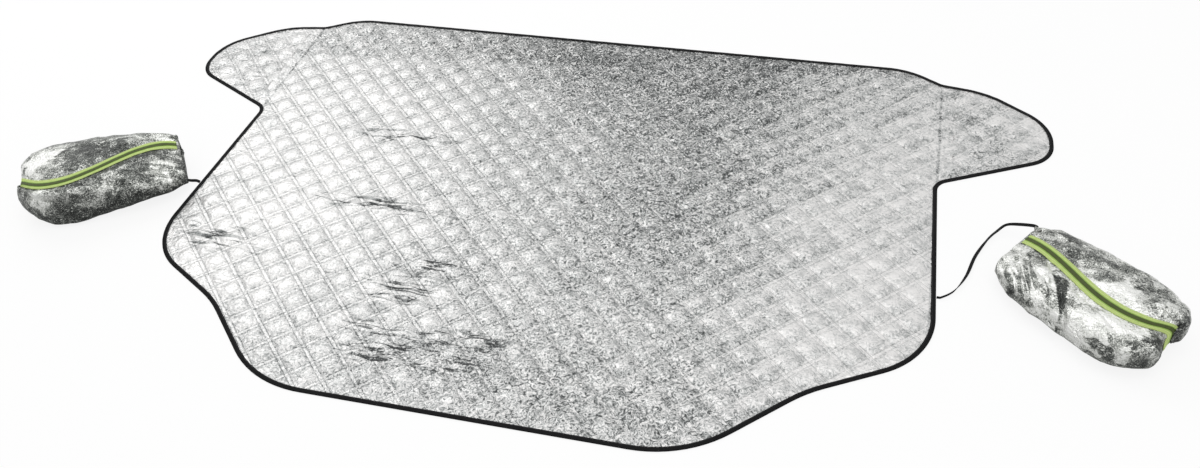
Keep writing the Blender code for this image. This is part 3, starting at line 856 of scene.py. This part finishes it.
def facets(lie, points, size):
    """The crumpled facet that each point lies on: how high its tilted face stands there, how near the
    point is to its crease, its own number from -1 to 1, and where its middle is in the bag."""
    x, y, z = points.T
    sway = [0.3 * size * hills(a + k, b, size * 0.8, lie["seed"] + k)
            for k, (a, b) in enumerate(((y, z), (x, z), (x, y)))]
    stretch = (0.75, 1.0, 1.2)
    place = (points + np.stack(sway, -1)) * stretch / size
    home = np.floor(place).astype(int)
    table = np.random.default_rng(lie["seed"]).uniform(-1, 1, (4096, 7))
    best = np.full((2, len(points)), 9.0)
    own, middle = np.zeros(len(points)), np.zeros((len(points), 3))
    for step in np.ndindex(3, 3, 3):
        there = home + np.array(step) - 1
        values = table[(there * (73856093, 19349663, 83492791)).sum(1) % len(table)]
        seed = there + 0.5 + 0.45 * values[:, :3]
        away = place - seed
        height = 0.75 * (values[:, 3:6] * away).sum(1) + 0.8 * (away ** 2).sum(1)
        nearer = height < best[0]
        best[1] = np.where(nearer, best[0], np.minimum(best[1], height))
        best[0] = np.where(nearer, height, best[0])
        own[nearer], middle[nearer] = values[nearer, 6], seed[nearer]
    edge = np.maximum(0, 1 - (best[1] - best[0]) / 0.12)
    return best[0], edge, own, middle * size / stretch


def aslant(lie, points):
    """The same points with the mouth pulled aslant and the tape drawn in at the closed end."""
    pulled = points.copy()
    t = points[:, 0] / lie["length"]
    sewn = (points[:, 1] - tape_course(lie, np.clip(t, 0, 1))) / 0.026
    drawn = lie["draw"] * np.exp(-sewn ** 2) * soft_step(t, 0.85, 1)
    pulled[:, 0] -= MOUTH_SLANT * points[:, 1] * (1 - t) + drawn
    return pulled


def crumple(lie, points):
    """How far the foil stands out or in at each point: facets between creases, long gathers near
    the mouth, and the bag's own named creases."""
    moved = 0.0078 * facets(lie, points, LARGE_FACET)[0] - 0.003 * facets(lie, points, SMALL_FACET)[0]
    moved *= 0.4 + 0.6 * lie["broken"]
    x, y, z = points.T
    gather = np.exp(-np.maximum(0, x) / 0.075) * soft_step(x, 0.002, 0.02)
    top = np.where(z > lie["height"] * 0.35, 1.0, 0.5)
    moved += 0.0034 * gather * top * hills(x * 0.12 + 3, y, 0.0085, lie["seed"] + 40)
    for (ax, ay), (bx, by), depth, width in lie["creases"]:
        dx, dy = bx - ax, by - ay
        t = np.clip(((x - ax) * dx + (y - ay) * dy) / (dx ** 2 + dy ** 2), 0, 1)
        far = np.hypot(x - ax - t * dx, y - ay - t * dy)
        moved -= depth * np.exp(-(far / width) ** 2) * (z > lie["height"] * 0.3)
    sewn = np.abs(y - tape_course(lie, np.clip(x / lie["length"], 0, 1)))
    loose = 0.15 + 0.85 * soft_step(sewn, 0.011, 0.027)
    return moved * soft_step(x, 0.004, 0.03) * loose - FOIL_INSET


def stand(lie):
    """Turns and moves a bag from its own frame to where it lies."""
    lifted = lie["mouth"] + Vector((0, 0, lie["lift"]))
    return Matrix.Translation(lifted) @ Matrix.Rotation(lie["heading"], 4, "Z")


def inside(x, y, corners):
    """1 inside a triangle and 0 outside it, with a soft edge about 2 mm wide."""
    away = []
    for (ax, ay), (bx, by) in zip(corners, corners[1:] + corners[:1]):
        away.append(((bx - ax) * (y - ay) - (by - ay) * (x - ax)) / math.hypot(bx - ax, by - ay))
    away = np.array(away)
    away = np.where(away.sum(0) < 0, -away, away)
    return soft_step(away.min(0), -0.001, 0.001)


def bag_painted_light(lie, points):
    """Painted light and shade of a bag: light and dark patches whose borders follow its facets, its
    named folds, shade beside the tape and darker lower sides.
    """
    _, edge, own, middle = facets(lie, points, SMALL_FACET)
    _, fold, broad, _ = facets(lie, points, LARGE_FACET)
    x, y, z = points.T
    up = z > 0.3 * lie["height"]
    # painted reflections and shade: each listed patch darkens the top of the bag, or lightens it where its
    # amount is below 0
    dark = sum(size * spot(middle[:, 0], middle[:, 1], at, wide) for at, wide, size in lie["patches"])
    # painted reflections of the crumpled facets: each facet lighter or darker at random, the folds of the
    # large facets lighter and the creases of the small facets darker
    mixed = 0.17 * own + 0.2 * broad + 0.12 * fold - 0.1 * edge
    tone = lie["tone"] - dark * up + lie["broken"] * mixed
    # painted light and shade in the listed wedges on the top
    for *corners, amount in lie["wedges"]:
        tone = tone + amount * inside(x, y, corners) * up
    first, last, wide, amount = lie["shade"]
    t = np.clip(x / lie["length"], 0, 1)
    off = y - tape_course(lie, t)
    beside = np.abs(off) * (np.sign(off) == lie["shaded_side"])
    reach = soft_step(t, first, first + 0.06) * (1 - soft_step(t, last - 0.12, last))
    tone = tone - amount * reach * (beside > 0) * (1 - soft_step(beside, 0.7 * wide, wide)) * up
    # painted shade: the lower sides of the bag darker
    low = 0.26 * (1 - soft_step(z, 0.25 * lie["height"], 0.62 * lie["height"]))
    return np.clip(tone - low, 0.02, 1)


def foil_bag(lie, look):
    """One bag: crumpled foil with its hem turned in at the mouth."""
    bm = bmesh.new()
    bmesh.ops.create_uvsphere(bm, u_segments=216, v_segments=126, radius=1)
    sphere = places(bm)
    around = np.arctan2(sphere[:, 1], sphere[:, 0])
    ring = np.arcsin(np.clip(sphere[:, 2], -1, 1)) / math.pi * BAG_RINGS
    move(bm, bag_points(lie, around, ring))
    bmesh.ops.bisect_plane(bm, geom=[*bm.verts, *bm.edges, *bm.faces], plane_co=(0, 0, 0),
                           plane_no=(-1, 0, 0), clear_outer=True)
    bmesh.ops.recalc_face_normals(bm, faces=bm.faces)
    if max(bm.verts, key=lambda v: v.co.z).normal.z < 0:
        bmesh.ops.reverse_faces(bm, faces=bm.faces)
    bm.normal_update()
    for vert, out in zip(bm.verts, crumple(lie, places(bm))):
        vert.co += vert.normal * out
    move(bm, aslant(lie, places(bm)))
    turn_hem(bm)
    lie["lift"] = FLOOR_GAP - min(v.co.z for v in bm.verts)
    local = places(bm)
    bmesh.ops.transform(bm, matrix=stand(lie), verts=bm.verts)
    name = f"foil_bag_{lie['side']}"
    mesh = bpy.data.meshes.new(name)
    bm.to_mesh(mesh)
    bm.free()
    carry(mesh, "tone", bag_painted_light(lie, local))
    (ahead, down), at, size, spread, clear = lie["pleats"]
    carry(mesh, "wrinkle", spot(local[:, 0], local[:, 1], at, size) * clear)
    carry(mesh, "along", local[:, 0] * ahead + local[:, 1] * down)
    carry(mesh, "aside", (local[:, 1] * ahead - local[:, 0] * down) * spread)
    smooth(mesh)
    made = dress(name, mesh, look, "crinkled_foil", f"mirror_bag_{lie['side']}")
    thicken(made, FOIL_THICKNESS, -1)
    return made


def turn_hem(bm):
    """Folds the mouth's edge inwards and back."""
    edges = [e for e in bm.edges if e.is_boundary]
    edge = edges.pop()
    rim = [edge.verts[0], edge.verts[1]]
    while edges:
        edge = next(e for e in rim[-1].link_edges if e in edges)
        edges.remove(edge)
        rim.append(edge.other_vert(rim[-1]))
    rim.pop()
    middle = sum((v.co for v in rim), Vector()) / len(rim)
    ways = []
    for i, vert in enumerate(rim):
        along = rim[(i + 3) % len(rim)].co - rim[i - 3].co
        way = Vector((0, -along.z, along.y)).normalized()
        ways.append(way if way.dot(middle - vert.co) > 0 else -way)
    rows = [rim]
    for inward, deeper in ((0.4, -0.0012), (1.0, 0.0), (1.0, HEM_WIDTH)):
        rows.append([bm.verts.new(v.co + way * HEM_DEPTH * inward + Vector((deeper, 0, 0)))
                     for v, way in zip(rim, ways)])
    for row, onward in zip(rows, rows[1:]):
        for i in range(len(row)):
            j = (i + 1) % len(row)
            bm.faces.new((row[i], row[j], onward[j], onward[i]))
    bmesh.ops.recalc_face_normals(bm, faces=bm.faces)


def bag_tape(lie, name, half_width, above, thickness, look, slot, node):
    """A strip along the middle of a bag, over the top and down round the closed end."""
    reach = lie["length"] / (1 + MOUTH_LAG)
    last = math.acos(BAND_START / reach - MOUTH_LAG)
    around = np.linspace(last, -last, 190)
    across = np.linspace(-half_width, half_width, 9)
    a, w = np.meshgrid(around, across, indexing="ij")
    ring = w / (BAND_WIDTH / 2 + VALLEY_CLEARANCE)
    a, w, ring = a.ravel(), w.ravel(), ring.ravel()
    here = bag_points(lie, a, ring)
    ahead = bag_points(lie, a + 0.01, ring) - bag_points(lie, a - 0.01, ring)
    aside = bag_points(lie, a, ring + 0.02) - bag_points(lie, a, ring - 0.02)
    out = np.cross(ahead, aside)
    out /= np.linalg.norm(out, axis=1, keepdims=True)
    centre = np.array([lie["length"] / 2, 0, lie["height"] / 2])
    out *= np.sign((out * (here - centre)).sum(1))[:, None]
    edge = 1 - (np.abs(w) / half_width) ** 6
    here = aslant(lie, here + out * (crumple(lie, here) + above + 0.0003 * edge)[:, None])
    rows, columns = len(around), len(across)
    index = np.arange(rows * columns).reshape(rows, columns)
    faces = np.stack([index[:-1, :-1], index[1:, :-1], index[1:, 1:], index[:-1, 1:]], -1).reshape(-1, 4)
    mesh = bpy.data.meshes.new(name)
    mesh.from_pydata(here.tolist(), [], faces.tolist())
    middle = here.reshape(rows, columns, 3)[:, columns // 2]
    along = distances(middle)
    layer = mesh.uv_layers.new(name="tape")
    place = np.stack([np.repeat(along, columns), w], -1)
    layer.data.foreach_set("uv", place[faces.ravel()].astype(np.float32).ravel())
    mesh.transform(stand(lie))
    turn_outwards(mesh, upwards=True)
    smooth(mesh)
    made = dress(name, mesh, look, slot, node)
    thicken(made, thickness, 1)
    return made


# Ties

def smooth_route(points, spacing):
    """Points along a smooth curve through the route's own points."""
    points = [Vector(p) for p in points]
    ends = [2 * points[0] - points[1], *points, 2 * points[-1] - points[-2]]
    line = [points[0]]
    for before, start, end, after in zip(ends, ends[1:], ends[2:], ends[3:]):
        steps = max(1, round((end - start).length / spacing))
        for k in range(1, steps + 1):
            t = k / steps
            bend = (2 * start + (end - before) * t + (2 * before - 5 * start + 4 * end - after) * t ** 2
                    + (3 * start - before - 3 * end + after) * t ** 3)
            line.append(bend / 2)
    return np.array([tuple(p) for p in line])


def flat_tie(name, node, route, stand_up, look):
    """A flat elastic along a route. stand_up says, at each of the route's stops, how far it stands
    on its edge, from -1 to 1."""
    path = smooth_route(route, TIE_STEP)
    ahead = turning(path, False)
    level = np.cross(ahead, [0.0, 0.0, 1.0])
    level /= np.linalg.norm(level, axis=1, keepdims=True)
    upright = np.cross(level, ahead)
    stands = np.interp(np.linspace(0, 1, len(path)), np.linspace(0, 1, len(stand_up)), stand_up)
    angle = (stands * math.pi / 2)[:, None]
    side = level * np.cos(angle) + upright * np.sin(angle)
    up = np.cross(side, ahead)
    w, h, soft = TIE_WIDTH / 2, TIE_THICKNESS / 2, 0.0004
    section = np.array([(-w, 0), (-w + soft, h), (-w / 2, h), (0, h), (w / 2, h), (w - soft, h), (w, 0),
                        (w - soft, -h), (w / 2, -h), (0, -h), (-w / 2, -h), (-w + soft, -h)])
    mesh = swept(name, path, section, False, (side, up))
    made = dress(name, mesh, look, "elastic", node)


# Stage

def camera():
    data = bpy.data.cameras.new("camera")
    data.lens, data.sensor_width = LENS, SENSOR
    made = put("camera", data)
    cos, sin = math.cos(EYE_TURN), math.sin(EYE_TURN)
    level = Vector((cos, sin, 0))
    rise = Vector((-sin * math.sin(EYE_DIP), cos * math.sin(EYE_DIP), math.cos(EYE_DIP)))
    right = level * math.cos(EYE_ROLL) + rise * math.sin(EYE_ROLL)
    up = rise * math.cos(EYE_ROLL) - level * math.sin(EYE_ROLL)
    axes = Matrix((right, up, right.cross(up))).transposed().to_4x4()
    made.matrix_world = Matrix.Translation(EYE) @ axes
    bpy.context.scene.camera = made


def floor():
    """A pale floor that the camera sees as almost white, with its soft shadows."""
    mesh = bpy.data.meshes.new("floor")
    mesh.from_pydata([(-9, -9, 0), (9, -9, 0), (9, 9, 0), (-9, 9, 0)], [], [(0, 1, 2, 3)])
    made = put("floor", mesh)
    finish = Finish("White floor", shine=0.0)
    shader, start, tree = finish.shader, finish.start, finish.tree
    shader.inputs["Base Color"].default_value = colour(0.88, 0.88, 0.88)
    shader.inputs["Roughness"].default_value = 1.0
    seen = start.node("ShaderNodeLightPath", output=0) * 0.82
    white = start.node("ShaderNodeEmission", None, {"Color": colour(1, 1, 1), "Strength": 1.05})
    mixed = start.node("ShaderNodeMixShader", None, {0: seen, 1: Value(tree, shader.outputs[0]), 2: white})
    tree.links.new(mixed.socket, tree.nodes["Material Output"].inputs["Surface"])
    mesh.materials.append(finish.material)


def sky():
    """White all round as the camera and the foil's reflections see it, and dimmer as a light."""
    world = bpy.data.worlds.new("studio")
    world.use_nodes = True
    bpy.context.scene.world = world
    tree = world.node_tree
    start = Value(tree)
    rays = [start.node("ShaderNodeLightPath", output=k) for k in (0, 3, 6)]
    seen = rays[0].most(rays[1]).most(rays[2])
    strength = seen * 0.45 + 0.55
    tree.nodes["Background"].inputs["Color"].default_value = colour(1, 1, 1)
    tree.links.new(strength.socket, tree.nodes["Background"].inputs["Strength"])


def softbox(name, at, towards, size, power):
    data = bpy.data.lights.new(name, "AREA")
    data.shape = "RECTANGLE"
    data.size, data.size_y = size
    data.energy = power
    made = put(name, data)
    made.location = at
    made.rotation_euler = (Vector(at) - Vector(towards)).to_track_quat("Z", "Y").to_euler()


def lights():
    softbox("key_softbox", (-1.9, 1.5, 2.2), (-0.2, 0, 0), (1.8, 1.8), 20)
    softbox("top_softbox", (0.6, -0.4, 3.2), (0.1, 0, 0), (2.6, 2.6), 24)


# Build

OUTLINE = cover_outline()


def quilted_pieces(edging):
    """The panel and the two ears. edging is not used."""
    panel = quilt_piece("quilted_panel_foil", "quilted_panel", (0.0095, -0.0035), 0.0,
                        (-SEAM_X - SIDE_MARGIN, -REACH_Y), (SEAM_X + SIDE_MARGIN, REACH_Y),
                        panel_painted_light, 1.0)
    for side, node in ((1, "ear_right"), (-1, "ear_left")):
        low, high = sorted((side * SEAM_X, side * EAR_REACH_X))
        made = quilt_piece(f"{node}_foil", node, (side * 0.815, 0.325), side * math.radians(3),
                           (low, NOTCH_Y), (high, REACH_Y), ear_painted_light, 0.35)


def ear_painted_light(x, y):
    """Painted light on the ears' foil: lighter at the tip of the right one."""
    tips = 0.1 * soft_step(x, 0.8, 0.9)
    return np.clip(0.68 - 0.03 * soft_step(x, 0, 0.5) + tips + 0.16 * hills(x, y, 0.04, 6), 0.05, 1)


def build():
    camera()
    floor()
    sky()
    lights()
    bpy.context.scene.view_settings.view_transform = "Standard"
    black = tape_finish("Black binding weave", colour(0.003, 0.003, 0.003), colour(0.016, 0.016, 0.017),
                        0.0007, 0.9)
    thread = thread_finish()
    quilted_pieces([binding(black), binding_stitches(thread)])
    elastic = elastic_finish()
    flat_tie("right_tie", "tie_right", RIGHT_TIE, RIGHT_STANDS, elastic)
    flat_tie("left_tie", "tie_left", LEFT_TIE, LEFT_STANDS, elastic)
    foil = bag_foil()
    green = tape_finish("Yellow-green tape weave", colour(0.16, 0.36, 0.02), colour(0.78, 0.93, 0.36),
                        0.0008, 0.7, dashes=(0.0105, 0.0032))
    grey = tape_finish("Grey reflective weave", colour(0.03, 0.045, 0.01), colour(0.115, 0.15, 0.04),
                       0.0006, 0.55, 0.2)
    for lie in (RIGHT_BAG, LEFT_BAG):
        side = lie["side"]
        bag = foil_bag(lie, foil)
        green_tape = bag_tape(lie, f"green_tape_{side}", BAND_WIDTH / 2, 0.0005, 0.0007, green,
                              "green_tape", f"reflective_band_{side}")
        stripe = bag_tape(lie, f"grey_stripe_{side}", STRIPE_HALF, 0.0014, 0.0003, grey,
                          "reflective_stripe", f"reflective_stripe_{side}")
        bpy.data.objects[f"mouth_elastic_{side}"].material_slots[0].material = thread


build()
